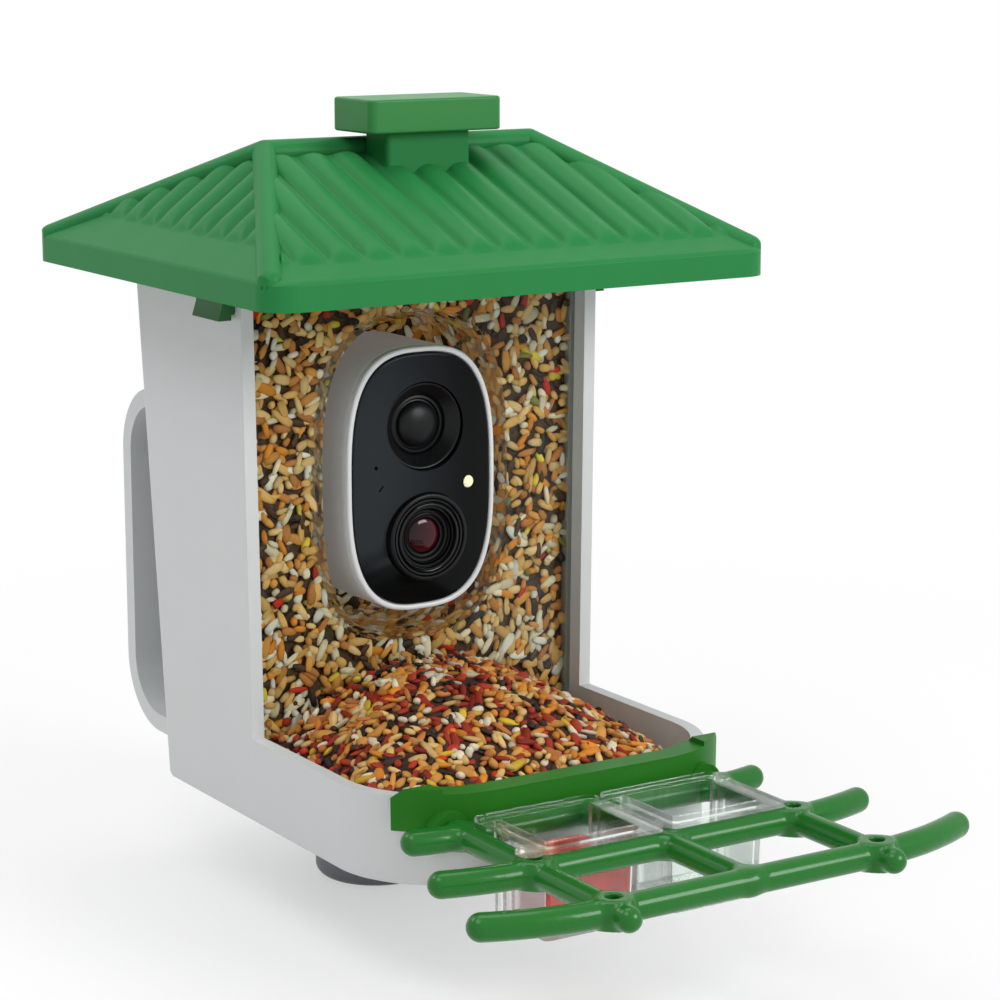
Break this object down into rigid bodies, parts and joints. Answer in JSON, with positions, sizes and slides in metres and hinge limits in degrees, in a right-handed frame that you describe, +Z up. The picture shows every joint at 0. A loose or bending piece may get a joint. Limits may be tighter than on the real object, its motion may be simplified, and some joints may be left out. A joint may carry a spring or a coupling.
{
  "type": "smart bird feeder",
  "caption": "Hopper bird feeder with a hinged corrugated roof, a pocketed front camera, a seed tray, a branching perch with clear cups, a strap bracket and a pole collar.",
  "frame": {"origin": "centre of the pole seat, on the housing's underside in the middle of the pole collar", "axes": "+Z up along the pole, +Y towards the back wall and its bracket, +X to the right seen from the front"},
  "size_m": [0.1988, 0.3204, 0.2928],
  "materials": {
    "body_grey": "fine satin moulding",
    "collar_grey": "matt moulding",
    "roof_green": "satin moulding",
    "perch_green": "soft gloss moulding",
    "clear_plastic": "clear and polished",
    "camera_grey": "satin moulding",
    "bezel_white": "satin",
    "gloss_black": "polished",
    "satin_black": "satin",
    "rubber_grey": "matt",
    "board_green": "circuit board",
    "battery_blue": "wrapped cells",
    "pale_light": "translucent light pipe",
    "jelly_red": "soft and wet",
    "seed_mix": "loose mixed seed",
    "steel": "plated"
  },
  "bodies": {
    "house": {"housing": "body_grey", "seed_ramp": "body_grey", "window_panel": "clear_plastic", "seed_fill": "seed_mix", "seed_heap": "seed_mix", "camera_dock": "body_grey", "dock_magnet": "steel", "dock_screw_low": "steel", "dock_screw_high": "steel", "hinge_pin_left": "steel", "hinge_pin_right": "steel", "rear_bracket": "body_grey", "bracket_screw_1": "steel", "bracket_screw_2": "steel", "bracket_screw_3": "steel", "bracket_screw_4": "steel", "pole_collar": "collar_grey", "collar_screw_1": "steel", "collar_screw_2": "steel", "collar_screw_3": "steel", "perch_rail": "perch_green", "perch_frame": "perch_green", "perch_screw_1": "steel", "perch_screw_2": "steel", "perch_screw_3": "steel"},
    "roof": {"roof_shell": "roof_green", "roof_liner": "roof_green", "roof_gasket": "rubber_grey", "roof_screw_1": "steel", "roof_screw_2": "steel", "roof_screw_3": "steel", "roof_screw_4": "steel", "ridge_block": "roof_green", "ridge_screw_left": "steel", "ridge_screw_right": "steel", "latch_pin_left": "steel", "latch_pin_right": "steel"},
    "left_latch": {"latch_left": "roof_green"},
    "right_latch": {"latch_right": "roof_green"},
    "camera": {"camera_shell": "camera_grey", "bezel": "bezel_white", "face": "gloss_black", "motion_cone": "satin_black", "motion_dome": "satin_black", "lens_barrel": "satin_black", "lens_ring": "gloss_black", "lens_glass": "gloss_black", "status_light": "pale_light", "circuit_board": "board_green", "motion_sensor": "steel", "image_sensor": "satin_black", "battery_pack": "battery_blue", "speaker": "satin_black", "charge_port": "steel"},
    "camera_button": {"power_button": "rubber_grey"},
    "camera_port_cover": {"port_cover": "rubber_grey"},
    "left_cup": {"cup_left": "clear_plastic", "jelly": "jelly_red"},
    "right_cup": {"cup_right": "clear_plastic"},
    "thumbscrew": {"collar_thumbscrew": "satin_black"}
  },
  "joints": [
    {"name": "roof_hinge", "type": "hinge", "parent": "house", "child": "roof", "pos_m": [0, 0.0536, 0.195], "axis": [-1, 0, 0], "range_deg": [0, 95]},
    {"name": "left_latch_swing", "type": "hinge", "parent": "roof", "child": "left_latch", "pos_m": [-0.0764, -0.024, 0.199], "axis": [0, 1, 0], "range_deg": [0, 15], "stiffness_Nm_per_rad": 0.05, "springref_deg": -5.73},
    {"name": "right_latch_swing", "type": "hinge", "parent": "roof", "child": "right_latch", "pos_m": [0.0764, -0.024, 0.199], "axis": [0, -1, 0], "range_deg": [0, 15], "stiffness_Nm_per_rad": 0.05, "springref_deg": -5.73},
    {"name": "camera_slide", "type": "slide", "parent": "house", "child": "camera", "axis": [0, -1, 0], "range_m": [0, 0.06]},
    {"name": "power_button_press", "type": "slide", "parent": "camera", "child": "camera_button", "axis": [0, 0, 1], "range_m": [0, 0.001], "stiffness_N_per_m": 400, "springref_m": -0.001},
    {"name": "port_cover_flip", "type": "hinge", "parent": "camera", "child": "camera_port_cover", "pos_m": [0, -0.0097, 0.0673], "axis": [1, 0, 0], "range_deg": [0, 90], "stiffness_Nm_per_rad": 0.0005, "springref_deg": -5.73},
    {"name": "left_cup_lift", "type": "slide", "parent": "house", "child": "left_cup", "axis": [0, 0, 1], "range_m": [0, 0.045]},
    {"name": "right_cup_lift", "type": "slide", "parent": "house", "child": "right_cup", "axis": [0, 0, 1], "range_m": [0, 0.045]},
    {"name": "thumbscrew_turn", "type": "hinge", "parent": "house", "child": "thumbscrew", "pos_m": [0, 0.03, -0.022], "axis": [0, 1, 0], "continuous": true}
  ]
}
